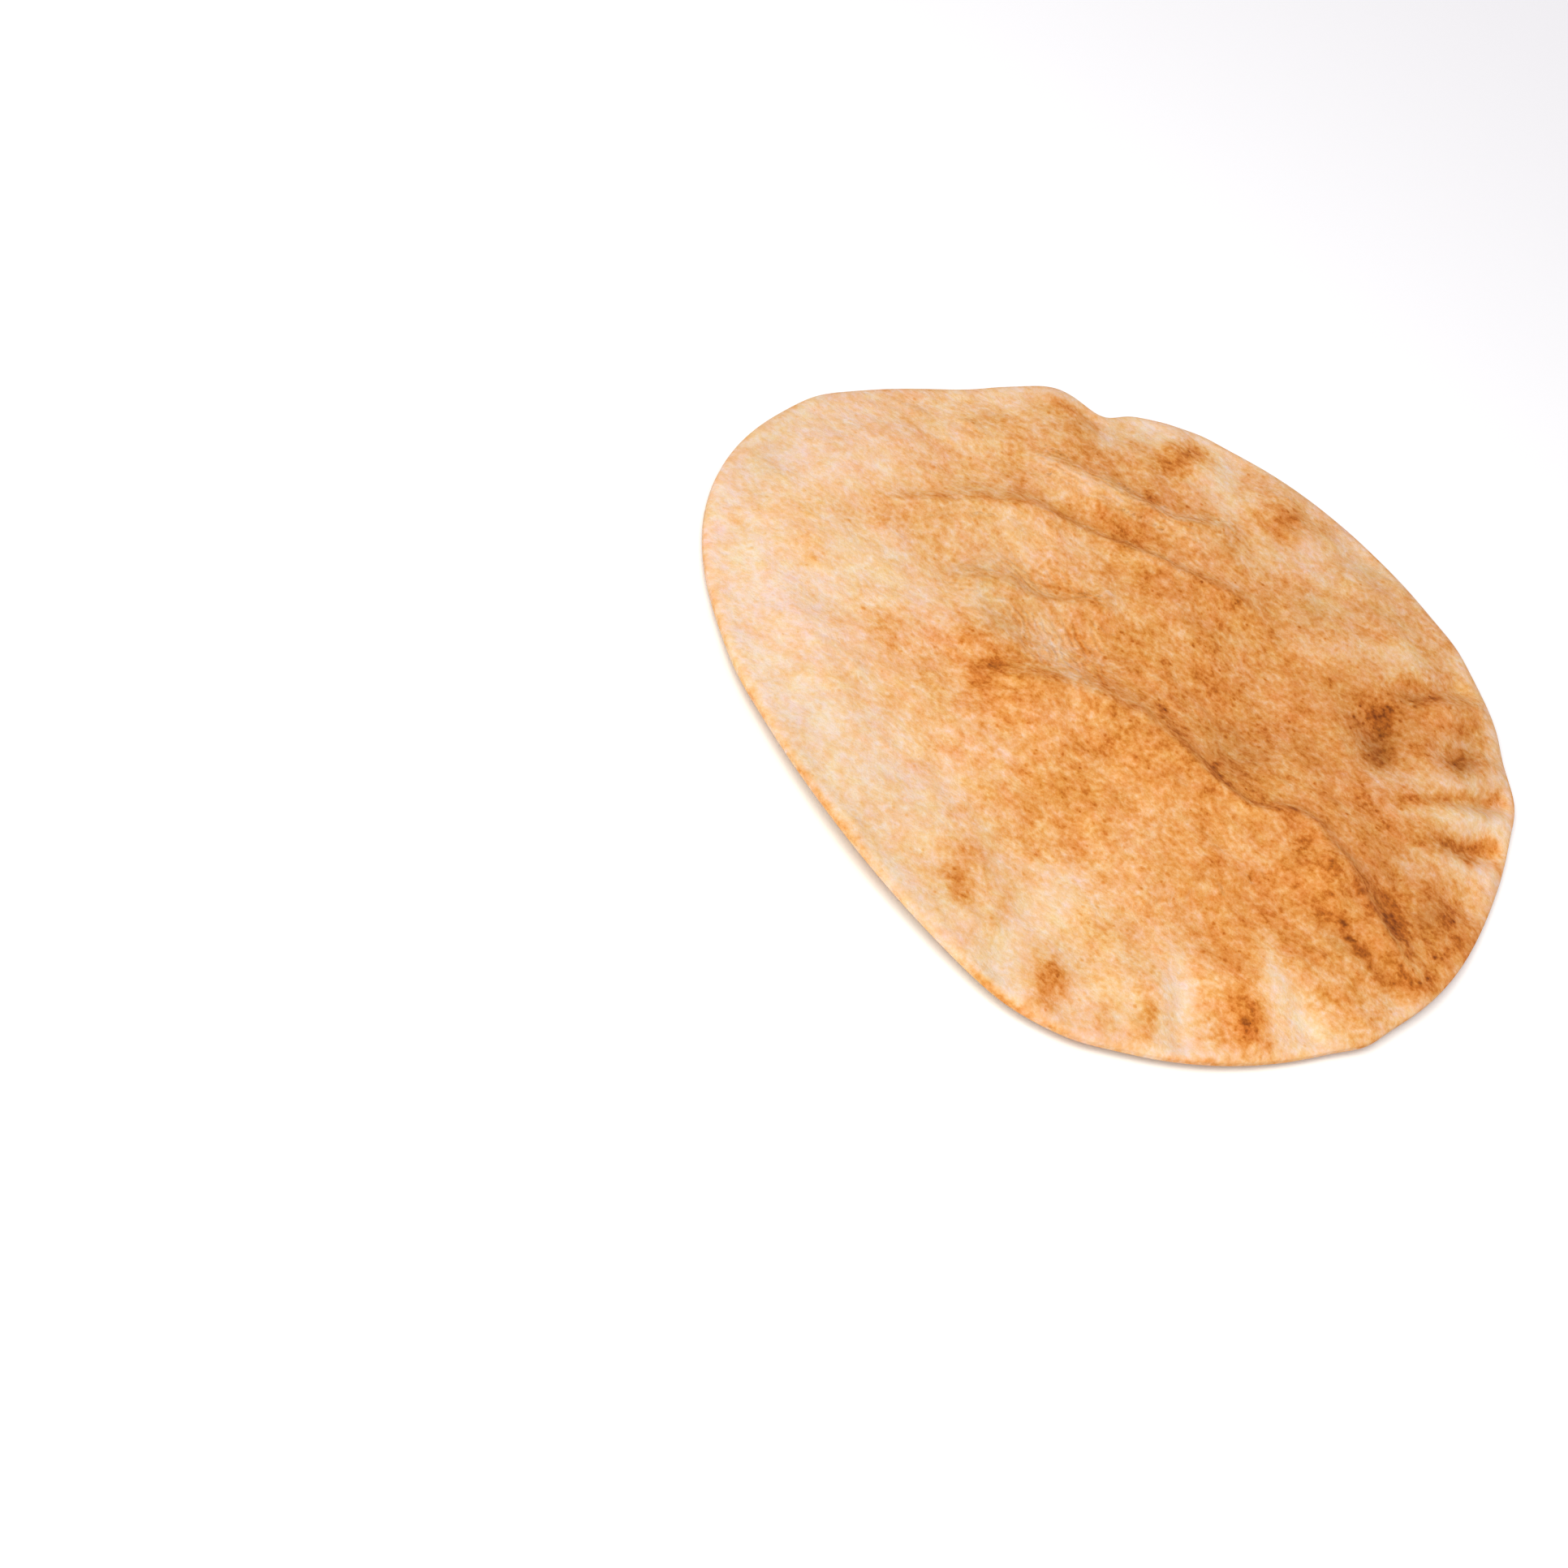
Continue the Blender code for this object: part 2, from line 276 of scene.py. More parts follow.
# Scorched spots and strokes: start, end, half width in mm, extra browning
SCORCHES = [
    ((62, 52), (65, 59), 3.6, 0.42),
    ((62, 63), (65, 72), 3.2, 0.22),
    ((69, 67), (72, 74), 2.8, 0.28),
    ((63, 50), (67, 43), 6.5, 0.36),
    ((66, 41), (67, 36), 2.8, 0.50),
    ((88, 49), (88, 59), 4.0, 0.46),
    ((82, 80), (84, 70), 4, 0.15),
    ((79, 27), (87, 34), 2.4, 0.34),
    ((87, 34), (94, 46), 2.2, 0.46),
    ((94, 46), (102, 57), 2.0, 0.42),
    ((95, 23), (102, 32), 2.8, 0.56),
    ((102, 32), (109, 38), 2.4, 0.56),
    ((101, 22), (103, 27), 2.2, 0.40),
    ((109, 36), (112, 32), 2.4, 0.30),
    ((91, -10), (95, -21), 4.6, 0.30),
    ((104, 4), (108, -14), 8, 0.18),
    ((104, 2), (106, 8), 3.0, 0.26),
    ((76, -34), (100, -34), 4.6, 0.26),
    ((82, -36), (99, -37), 1.9, 0.36),
    ((99, -37), (110, -30), 1.6, 0.38),
    ((82, -31), (82, -35), 1.7, 0.52),
    ((85, -35), (90, -36), 2.0, 0.56),
    ((98, -34), (109, -31), 5, 0.26),
    ((100, -31), (102, -33), 1.8, 0.52),
    ((108, -26), (111, -28), 2.4, 0.40),
    ((62, -16), (64, -28), 3.4, 0.24),
    ((66, -20), (74, -26), 5, 0.18),
    ((33, -20), (35, -27), 3, 0.24),
    ((60, -20), (63, -17), 1.8, 0.30),
    ((64, -29), (72, -33), 4, 0.24),
    ((71, -77), (75, -82), 5, 0.44),
    ((77, -80), (81, -84), 4, 0.30),
    ((64, -86), (70, -92), 4, 0.30),
    ((50, -98), (53, -108), 3, 0.50),
    ((24, -107), (26, -116), 4.2, 0.48),
    ((40, -106), (41, -113), 3, 0.22),
    ((-9, -99), (-6, -105), 3.5, 0.45),
    ((-37, -31), (-31, -34), 3.4, 0.14),
    ((-35, -20), (-32, -27), 3.5, 0.20),
    ((-17, -24), (-16, -30), 4, 0.12),
    ((-24, -42), (-30, -45), 5, 0.18),
    ((-92, -26), (-89, -31), 4, 0.24),
    ((-84, 2), (-76, 6), 7, 0.14),
    ((-33, 51), (-22, 55), 5.5, 0.34),
    ((-44, 43), (-40, 51), 3.4, 0.22),
    ((-62, 52), (-57, 42), 4, 0.14),
    ((-57, 41), (-55, 35), 3.2, 0.24),
    ((-63, 85), (-54, 89), 5, 0.36),
    ((-57, 82), (-55, 92), 3, 0.30),
    ((-42, 92), (-43, 98), 4, 0.18),
    ((-28, 94), (-24, 107), 6, 0.66),
    ((8, 109), (8, 101), 4.6, 0.28),
    ((0, 97), (4, 94), 2.2, 0.32),
    ((4, 94), (12, 95), 2.2, 0.30),
    ((19, 113), (19, 117), 4, 0.24),
    ((-6, 117), (8, 119), 5, 0.18),
    ((63, 90), (68, 100), 4, 0.30),
    ((-5, -56), (6, -62), 7, 0.10),
    ((6, -84), (6, -112), 2.6, 0.16),
    ((24, -16), (24, -20), 3.5, 0.24),
    ((10, -18), (16, -27), 5, 0.18),
    ((-6, -64), (12, -68), 6, 0.20),
    ((64, -46), (68, -50), 5, 0.22),
    ((28, 3), (44, -12), 8, 0.10),
    ((31, -5), (32, -14), 1.8, 0.24),
    ((36, -3), (36, -12), 1.8, 0.18),
    ((45, -4), (48, -12), 1.8, 0.26),
    ((9, -1), (10, -5), 1.6, 0.28),
    ((3, 1), (4, -1), 1.6, 0.22),
    ((54, -7), (55, -6), 1.5, 0.40),
    ((66, 0), (80, -2), 3.0, 0.12),
    ((-26, 71), (-27, 74), 1.5, 0.30),
    ((-22, 34), (-23, 36), 1.8, 0.24),
    ((-35, 15), (-30, 17), 1.5, 0.24),
    ((-7, -6), (-2, -15), 5.5, 0.20),
    ((-36, -8), (-33, -10), 4, 0.22),
    ((-64, -2), (-55, -4), 4, 0.14),
    ((-18, 16), (-12, 15), 5, 0.15),
    ((-15, 40), (-13, 39), 4, 0.14),
    ((-17, 16), (-14, 16), 2.2, 0.26),
    ((-15, 36), (-13, 34), 1.8, 0.24),
    ((-18, 6), (-16, 3), 1.6, 0.28),
]

# Duller and brighter patches of the crust, mostly painted shade and painted light: darker
# in the hollows and on slopes turned from the light, brighter on slopes that face it, and
# partly the crust's own brightness; placed as the toasted fields are, with the share of
# the brightness that they lose or gain
PAINTED_SHADE_AND_TONE_PATCHES = [
    (65, 49, 16, 18, 0, -0.11),
    (66, 42, 5, 9, 0, -0.24),
    (88, 58, 5, 9, 0, -0.22),
    (68, 69, 4, 7, -20, -0.15),
    (35, 6, 8, 14, 0, -0.13),
    (48, 20, 9, 10, 0, -0.05),
    (-44, 4, 26, 12, 15, -0.12),
    (-36, -9, 10, 6, 0, -0.10),
    (-68, 14, 16, 8, 40, -0.07),
    (88, 6, 9, 14, 0, -0.10),
    (84, -37, 16, 4, 0, -0.14),
    (100, -5, 6, 7, 0, -0.18),
    (-5, -112, 66, 20, -6, -0.09),
    (-64, -80, 40, 18, -40, -0.06),
    (-116, -6, 8, 26, 0, -0.07),
    (30, 73, 7, 10, 0, -0.09),
    (44, 91, 9, 7, 0, -0.08),
    (-20, 108, 26, 14, 0, 0.12),
    (-86, 62, 26, 13, 50, 0.05),
    (10, -34, 50, 14, 0, 0.04),
    (108, 40, 6, 26, 0, 0.12),
    (72, -75, 16, 12, 0, 0.08),
]

# The underside's broad fields, as for the upper skin, and what they add at their fullest
STONE_FIELDS = [
    (-10, 10, 80, 70, 20, 0.80),
    (50, -30, 40, 46, 0, 0.60),
    (-60, -50, 34, 26, 30, 0.50),
    (30, 80, 40, 22, -20, 0.55),
]
STONE_SPAN = 0.62

# Spots where the underside touched the hot stone: how many, the share of the round's
# area they lie in, the greatest length in mm, and the least and greatest half width in
# mm and extra browning
STONE_SPOTS = 70
SPOTTED_SHARE = 0.86
SPOT_LENGTH = 8.0
SPOT_WIDTHS = (2.5, 6.5)
SPOT_STRENGTHS = (0.15, 0.45)
SPOT_SEED = 21


# ------------------------------------------------------------------ small tools
SAME_PLACE = 0.001 * MM         # points closer than this count as one


def smooth_step(low, high, value):
    """0 below low, 1 above high, and a soft S between them."""
    share = np.clip((value - low) / (high - low), 0.0, 1.0)
    return share * share * (3.0 - 2.0 * share)


def fade_ends(share, fade, start=0.0, stop=1.0):
    """1 between two shares of a route, dying away to 0 at each of them."""
    return smooth_step(start, start + fade, share) * smooth_step(stop, stop - fade, share)


def turn_between(first, second):
    """The signed turn from one angle to another, in degrees."""
    return (first - second + 180.0) % 360.0 - 180.0


def bumps(angle, places):
    """Sum of soft bumps round the rim, each with its angle, half width and size."""
    return sum(size * np.exp(-((turn_between(angle, place) / width) ** 2)) for place, width, size in places)


def curve_through(points, steps=8):
    """A smooth curve through the given points (Catmull-Rom), as a dense line."""
    knots = np.array([points[0]] + list(points) + [points[-1]], float) * MM
    share = np.linspace(0.0, 1.0, steps, endpoint=False)[:, None]
    line = []
    for before, start, end, after in zip(knots, knots[1:], knots[2:], knots[3:]):
        bend = 2 * before - 5 * start + 4 * end - after
        twist = 3 * start - before - 3 * end + after
        line.append(0.5 * (2 * start + (end - before) * share + bend * share**2 + twist * share**3))
    line.append(knots[-1:])
    return np.concatenate(line)


def place_along(points, line):
    """For each point: its signed distance from the line, positive on the left-hand
    side, and its share of the way along the line."""
    steps = np.diff(line, axis=0)
    lengths = np.maximum(np.hypot(steps[:, 0], steps[:, 1]), SAME_PLACE)
    travelled = np.concatenate([[0.0], np.cumsum(lengths)])
    nearest = np.full(len(points), np.inf)
    side = np.zeros(len(points))
    share = np.zeros(len(points))
    for start, step, length, before in zip(line, steps, lengths, travelled):
        offset = points - start
        along = np.clip(offset @ step / length**2, 0.0, 1.0)
        gap = np.hypot(*(offset - along[:, None] * step).T)
        closer = gap < nearest
        nearest[closer] = gap[closer]
        side[closer] = np.where(step[0] * offset[closer, 1] < step[1] * offset[closer, 0], -1.0, 1.0)
        share[closer] = (before + along[closer] * length) / travelled[-1]
    return nearest * side, share


def patchy(points, size, seed):
    """Smooth random values between -1 and 1 over the plane, in patches of this size."""
    random = np.random.default_rng(seed)
    cells = 64
    table = random.uniform(-1.0, 1.0, (cells, cells))
    heading = random.uniform(0.0, math.tau)
    east, north = math.cos(heading), math.sin(heading)
    spot = points @ np.array([[east, -north], [north, east]]) / (size * MM) + cells
    corner = np.floor(spot).astype(int)
    inside = spot - corner
    inside = inside * inside * (3.0 - 2.0 * inside)
    left, low = (corner % cells).T
    right, high = ((corner + 1) % cells).T
    across, up = inside.T
    lower = table[left, low] * (1 - across) + table[right, low] * across
    upper = table[left, high] * (1 - across) + table[right, high] * across
    return lower * (1 - up) + upper * up


def mottle(points, layers):
    """Sum of random patches, each with its strength, size and seed."""
    return sum(strength * patchy(points, size, seed) for strength, size, seed in layers)


def stray(points, reach, size, seed):
    """Random sideways shifts of up to this reach, the same over patches of this size."""
    return reach * MM * np.stack([patchy(points, size, seed), patchy(points, size, seed + 1)], 1)


# ------------------------------------------------------------------ rules of the form
def outline_radius(angle):
    """Distance of the rim from the middle at an angle in radians."""
    radius = np.full_like(angle, MEAN_RADIUS)
    for count, size, phase in OUTLINE_WAVES:
        radius += size * MM * np.cos(count * angle + math.radians(phase))
    return radius + MM * bumps(np.degrees(angle), OUTLINE_DENTS)


def rim_lift(angle):
    """Height of the rim's underside above the surface that the bread lies on."""
    return RIM_REST + MM * bumps(np.degrees(angle), RIM_LIFTS)


def fold_height(points):
    """The long folds: each rises to a crease and drops off on its left-hand side."""
    height = np.zeros(len(points))
    for route, crest, width, drop, drop_width in FOLDS.values():
        across, share = place_along(points, curve_through(route))
        reach = width * MM * np.where(across > 0, FAR_SIDE, 1.0)
        rise = np.exp(-abs(across) / reach)
        sharpness = 1.0 + WAVER * np.cos(math.tau * WAVER_TURNS * share)
        fall = np.where(across > 0, np.exp(-((across * sharpness / (drop_width * MM)) ** 2)), rise)
        height += ((crest - drop) * rise + drop * fall) * MM * fade_ends(share, FOLD_FADE)
    return height


def swelling_height(points):
    """The soft swellings and hollows between the folds."""
    height = np.zeros(len(points))
    for east, north, half_east, half_north, size in SWELLINGS:
        offset = (points / MM - (east, north)) / (half_east, half_north)
        height += size * MM * np.exp(-(offset ** 2).sum(axis=1))
    return height


def pleat_height(points):
    """The pinched pleats: each rises from nothing and is deepest at the rim."""
    height = np.zeros(len(points))
    for start, end, width, size in PLEATS:
        across, share = place_along(points, np.array([start, end]) * MM)
        profile = np.exp(-((across / (width * MM)) ** 2))
        height += size * MM * profile * smooth_step(0.0, PLEAT_RISE, share)
    return height


def unevenness(points):
    """Long low waves, which keep the skin from being flat anywhere."""
    height = np.zeros(len(points))
    for wavelength, direction, phase, size in UNEVENNESS:
        heading = np.array([math.cos(math.radians(direction)), math.sin(math.radians(direction))])
        turns = (points @ heading) / (wavelength * MM)
        height += size * MM * np.sin(math.tau * turns + math.radians(phase))
    return height


def skins(share, angle):
    """Plan positions, and the heights of the upper and the lower skin, for points
    given by their share of the way out to the rim and their angle."""
    radius = outline_radius(angle)
    points = (share * radius)[:, None] * np.stack([np.cos(angle), np.sin(angle)], 1)
    inward = (1.0 - share) * radius
    beyond_flat = np.clip((share - FLAT_SHARE) / (1.0 - FLAT_SHARE), 0.0, 1.0)
    underside = rim_lift(angle) * beyond_flat**LIFT_SHAPE
    wall = RIM_THICKNESS + (BODY_THICKNESS - RIM_THICKNESS) * smooth_step(0.0, BODY_BLEND, inward)
    relief = fold_height(points) + swelling_height(points) + unevenness(points)
    wall += relief * smooth_step(0.0, RELIEF_BLEND, inward)
    wall += pleat_height(points) * smooth_step(PLEAT_START, PLEAT_BLEND, inward)
    middle = underside + RIM_THICKNESS / 2
    closing = np.sqrt(1.0 - (1.0 - np.clip(inward / EDGE_ROUND, 0.0, 1.0)) ** 2)
    upper = middle + (underside + wall - middle) * closing
    lower = middle + (underside - middle) * closing
    return points, upper, lower


# ------------------------------------------------------------------ rules of the browning, and of painted shade and light
def soft_ovals(points, ovals):
    """Strength of each soft oval at each point, one row for an oval."""
    rows = []
    for east, north, half_length, half_width, direction, strength in ovals:
        offset = points / MM - (east, north)
        heading = math.radians(direction)
        along = offset[:, 0] * math.cos(heading) + offset[:, 1] * math.sin(heading)
        beside = offset[:, 1] * math.cos(heading) - offset[:, 0] * math.sin(heading)
        distance = (along / half_length) ** 2 + (beside / half_width) ** 2
        rows.append(strength * np.exp(-distance))
    return np.array(rows)


def field_cover(points, fields):
    """How far the toasted fields cover each point, 0 to 1."""
    return 1.0 - np.prod(1.0 - soft_ovals(points, fields), axis=0)


def strokes(points, marks):
    """Strength of each soft stroke at each point, one row for a stroke."""
    rows = []
    for start, end, width, strength in marks:
        across = place_along(points, np.array([start, end], float) * MM)[0]
        rows.append(strength * np.exp(-((across / (width * MM)) ** 2)))
    return np.array(rows)


def crease_shade_line(points, name):
    """Painted shade: how much browner the skin is painted along the drop of a fold, where shade falls."""
    offset, width, amount, start, stop = PAINTED_CREASE_SHADE[name]
    across, share = place_along(points, curve_through(FOLDS[name][0]))
    beside = (across / MM - offset) / width
    depth = amount * (CREASE_DEPTH + mottle(points, CREASE_MOTTLE))
    return depth * np.exp(-(beside ** 2)) * fade_ends(share, CREASE_FADE, start, stop)


def browning_and_crease_shade_above(points):
    """Browning of the upper skin, with painted shade along the drops of the folds."""
    loose = points + stray(points, *BROAD_STRAY) + stray(points, *RAGGED_STRAY)
    cover = field_cover(loose + stray(points, *FIELD_STRAY), TOASTED_FIELDS)
    cover = cover * np.prod(1.0 - strokes(loose, PALE_STREAKS), axis=0)
    # painted shade: the skin is painted browner along the drop of each fold
    crease_shades = [crease_shade_line(loose, name) for name in FOLDS]
    browning = FLOURY + TOAST_SPAN * cover + strokes(loose, SCORCHES).max(axis=0)
    browning += np.max(crease_shades, axis=0)
    mottle_share = MOTTLE_ON_FLOUR + (1.0 - MOTTLE_ON_FLOUR) * cover
    return browning + mottle(points, TOAST_MOTTLE) * mottle_share


def tone_and_painted_shade_above(points):
    """How bright the upper skin's colour is beside the plain colour of its browning: random patches, and
    patches of painted shade in hollows and on slopes turned from the light and of painted light on slopes
    facing it.
    """
    loose = points + stray(points, *SHADE_AND_TONE_STRAY)
    return 1.0 + soft_ovals(loose, PAINTED_SHADE_AND_TONE_PATCHES).sum(axis=0) + mottle(points, TONE_MOTTLE)


# ------------------------------------------------------------------ mesh
GRID_CELLS = 220
RIM_PACKING = 0.85              # how much closer together the rings lie towards the rim
PACKING_POWER = 4
OUTLINE_STEPS = 192
SEAM_DEPTH = 0.45 * MM          # the two skins part slightly along the middle of the rim
SEAM_STEP = 0.12 * MM           # and a little less on the next row in
RELIEF_START = 0.4 * MM         # the fine relief starts this far in from the rim
RELIEF_FULL = 6.0 * MM

# What each point of the skin carries for its colour and its fine relief
SKIN_LAYERS = ("browning", "tone_and_painted_shade", "relief", "wrinkles", "wrinkle_place")

RIM_BROWNING = 0.28             # the rim's wall is pale gold all round
RIM_FADE = 1.4 * MM
# except where scorched fields run over it, and where painted shade darkens the edge between about 50 and 90
# degrees: angle, half width in degrees, browning
RIM_SCORCHES_AND_SHADE = [
    (-4, 13, 0.45), (-30, 4, 0.3), (-46, 6, 0.35), (17, 4, 0.2), (30, 4, 0.3), (68, 20, 0.34), (100, 8, 0.2),
    (150, 25, 0.08), (-57, 4, 0.3), (-82, 6, 0.3), (-112, 8, 0.16),
]

# Fine ripples of the thin skin lie in arcs round this point, between these radii
WHORL_CENTRE = (-48, -22)
WHORL_RADII = (20, 46)
WHORL_FADES = (4, 5)            # half widths of the inner and the outer edge, in mm
WHORL_ARC = (46, 46)            # middle and half width of the arcs, in degrees
# Finer wrinkles run along the folds: from and to across the route in mm, strength
FOLD_WRINKLES = {"left fold": (-5, 4, 0.8), "upper fold": (-4, 3, 0.4), "back fold": (-4, 5, 0.7)}
WRINKLE_EDGE = 2                # half width of the edges of that strip, in mm
WRINKLE_FADE = 0.15             # share of the route over which each end dies away


def square_to_round(square):
    """Carries a square grid onto the round: its square rings become round rings."""
    across, up = square[:, 0], square[:, 1]
    ring = np.maximum(abs(across), abs(up))
    beside = abs(across) > abs(up)
    long_side = np.where(beside, across, up)
    short_side = np.where(beside, up, across)
    slant = math.pi / 4 * short_side / np.where(long_side == 0.0, 1.0, long_side)
    sideways = slant + np.where(across < 0, math.pi, 0.0)
    upright = np.sign(up) * math.pi / 2 - slant
    share = ring + RIM_PACKING * ring**PACKING_POWER * (1.0 - ring)
    return ring, share, np.where(beside, sideways, upright)


def footprint_centre():
    """Middle of the outline's bounding box, where the origin belongs."""
    angle = np.linspace(-math.pi, math.pi, OUTLINE_STEPS, endpoint=False)
    rim = skins(np.ones_like(angle), angle)[0]
    return (rim.max(0) + rim.min(0)) / 2


def browning_below(points):
    """Browning of the underside: scattered spots where it touched the hot stone."""
    random = np.random.default_rng(SPOT_SEED)
    spots = np.zeros(len(points))
    for _ in range(STONE_SPOTS):
        reach = MEAN_RADIUS / MM * math.sqrt(random.uniform(0.0, SPOTTED_SHARE))
        heading = random.uniform(0.0, math.tau)
        start = np.array([math.cos(heading), math.sin(heading)]) * reach
        turn = random.uniform(0.0, math.tau)
        end = start + np.array([math.cos(turn), math.sin(turn)]) * random.uniform(0.0, SPOT_LENGTH)
        mark = (start, end, random.uniform(*SPOT_WIDTHS), random.uniform(*SPOT_STRENGTHS))
        spots += strokes(points, [mark])[0]
    cover = field_cover(points, STONE_FIELDS)
    return FLOURY + STONE_SPAN * cover + spots + mottle(points, STONE_MOTTLE)


def wrinkle_pattern(points):
    """The fine wrinkles: how strong they are, and how far across them each point is in mm."""
    offset = points / MM - WHORL_CENTRE
    reach = np.hypot(*offset.T)
    heading = np.degrees(np.arctan2(offset[:, 1], offset[:, 0]))
    inner, outer = WHORL_RADII
    inner_fade, outer_fade = WHORL_FADES
    strength = np.exp(-((turn_between(heading, WHORL_ARC[0]) / WHORL_ARC[1]) ** 2))
    strength *= smooth_step(inner - inner_fade, inner + inner_fade, reach)
    strength *= smooth_step(outer + outer_fade, outer - outer_fade, reach)
    place = reach
    for name, (low, high, amount) in FOLD_WRINKLES.items():
        across, share = place_along(points, curve_through(FOLDS[name][0]))
        across /= MM
        here = amount * fade_ends(share, WRINKLE_FADE)
        here *= smooth_step(low - WRINKLE_EDGE, low + WRINKLE_EDGE, across)
        here *= smooth_step(high + WRINKLE_EDGE, high - WRINKLE_EDGE, across)
        place = np.where(here > strength, across, place)
        strength = abs(here - strength)
    return strength, place


def skin_values(points, angle, inward, upper_side):
    """What the points of one skin carry, by the names of the layers."""
    browning = browning_and_crease_shade_above(points) if upper_side else browning_below(points)
    # the rim's wall, browner where scorched and where painted shade lies along its edge
    wall = RIM_BROWNING + bumps(np.degrees(angle), RIM_SCORCHES_AND_SHADE) + mottle(points, RIM_MOTTLE)
    open_skin = 1.0 - np.exp(-((inward / RIM_FADE) ** 2))
    wrinkles, wrinkle_place = wrinkle_pattern(points)
    return {
        "browning": wall + (browning - wall) * open_skin,
        "tone_and_painted_shade": tone_and_painted_shade_above(points) if upper_side else np.ones(len(points)),
        "relief": smooth_step(RELIEF_START, RELIEF_FULL, inward),
        "wrinkles": wrinkles if upper_side else np.zeros(len(points)),
        "wrinkle_place": wrinkle_place,
    }


def add_sheet(bm, upper_side):
    """One skin of the bread, as a grid pressed into shape, with what it carries."""
    sheet = bmesh.ops.create_grid(bm, x_segments=GRID_CELLS, y_segments=GRID_CELLS, size=1.0)["verts"]
    ring, share, angle = square_to_round(np.array([vertex.co for vertex in sheet], float))
    points, upper, lower = skins(share, angle)
    heights = upper if upper_side else lower
    values = skin_values(points, angle, (1.0 - share) * outline_radius(angle), upper_side)
    rows_in = (1.0 - ring) * GRID_CELLS / 2
    pull = np.where(rows_in < 0.5, SEAM_DEPTH, np.where(rows_in < 1.5, SEAM_STEP, 0.0))
    points *= 1.0 - (pull / np.hypot(*points.T).clip(MM))[:, None]
    layers = {name: bm.verts.layers.float[name] for name in SKIN_LAYERS}
    for index, vertex in enumerate(sheet):
        vertex.co = (points[index, 0], points[index, 1], heights[index])
        for name, layer in layers.items():
            vertex[layer] = values[name][index]


def pressed_bread():
    """The whole bread before its fine relief: two skins that share the rim's points."""
    bm = bmesh.new()
    for name in SKIN_LAYERS:
        bm.verts.layers.float.new(name)
    add_sheet(bm, upper_side=True)
    add_sheet(bm, upper_side=False)
    bmesh.ops.remove_doubles(bm, verts=bm.verts, dist=SAME_PLACE)
    bmesh.ops.recalc_face_normals(bm, faces=bm.faces)
    centre = footprint_centre()
    bmesh.ops.translate(bm, verts=bm.verts, vec=(-centre[0], -centre[1], 0.0))
    mesh = bpy.data.meshes.new("pita_bread")
    bm.to_mesh(mesh)
    bm.free()
    mesh.shade_smooth()
    bread = bpy.data.objects.new("pita_bread", mesh)
    bpy.context.scene.collection.objects.link(bread)
    return bread


# ------------------------------------------------------------------ node helpers
def plug(tree, value, socket):
    """A link where the value is another node's output, or else the socket's own value."""
    if isinstance(value, bpy.types.NodeSocket):
        tree.links.new(value, socket)
    else:
        socket.default_value = value


def add_node(tree, kind, inputs=None, **settings):
    """A new node with its settings made and its inputs plugged in."""
    made = tree.nodes.new(kind)
    for name, value in settings.items():
        setattr(made, name, value)
    for name, value in (inputs or {}).items():
        plug(tree, value, made.inputs[name])
    return made


def work_out(tree, operation, *values, clamp=False):
    """One Math node: a product, sum, wave or comparison of the given values."""
    made = add_node(tree, "ShaderNodeMath", operation=operation, use_clamp=clamp)
    for value, socket in zip(values, made.inputs):
        plug(tree, value, socket)
    return made.outputs[0]


def work_out_vector(tree, operation, first, second):
    """One Vector Math node of two vectors or colours."""
    made = add_node(tree, "ShaderNodeVectorMath", {0: first, 1: second}, operation=operation)
    return made.outputs["Vector"]


def scaled(tree, vector, factor):
    """A vector times a number."""
    made = add_node(tree, "ShaderNodeVectorMath", {0: vector, "Scale": factor}, operation="SCALE")
    return made.outputs["Vector"]


# ------------------------------------------------------------------ fine relief
RELIEF_INPUTS = {
    "Lump Size": 0.012,
    "Lump Height": 0.00022,
    "Blister Size": 0.0062,
    "Blister Height": 0.00042,
    "Blister Share": 0.42,
    "Pitting Size": 0.0030,
    "Pitting Height": 0.00016,
    "Seed": 5.0,
}
BLISTER_WOBBLE = 0.9            # how far blisters are pushed out of round, in their own sizes
BLISTER_LEAST_WIDTH = 0.28      # half width of the smallest ones, in their own sizes
BLISTER_EXTRA_WIDTH = 0.30
BLISTER_LEAST_RISE = 0.4        # height of the lowest ones, as a share of the given height


def relief_noise(tree, place, given, kind, detail):
    """Random heights about 0, with the size and the height given for this kind."""
    scale = work_out(tree, "DIVIDE", 1.0, given[kind + " Size"])
    inputs = {"Vector": place, "W": given["Seed"], "Scale": scale, "Detail": detail}
    value = add_node(tree, "ShaderNodeTexNoise", inputs, noise_dimensions="4D").outputs[0]
    about_zero = work_out(tree, "MULTIPLY_ADD", value, 4.0, -2.0)
    return work_out(tree, "MULTIPLY", about_zero, given[kind + " Height"])


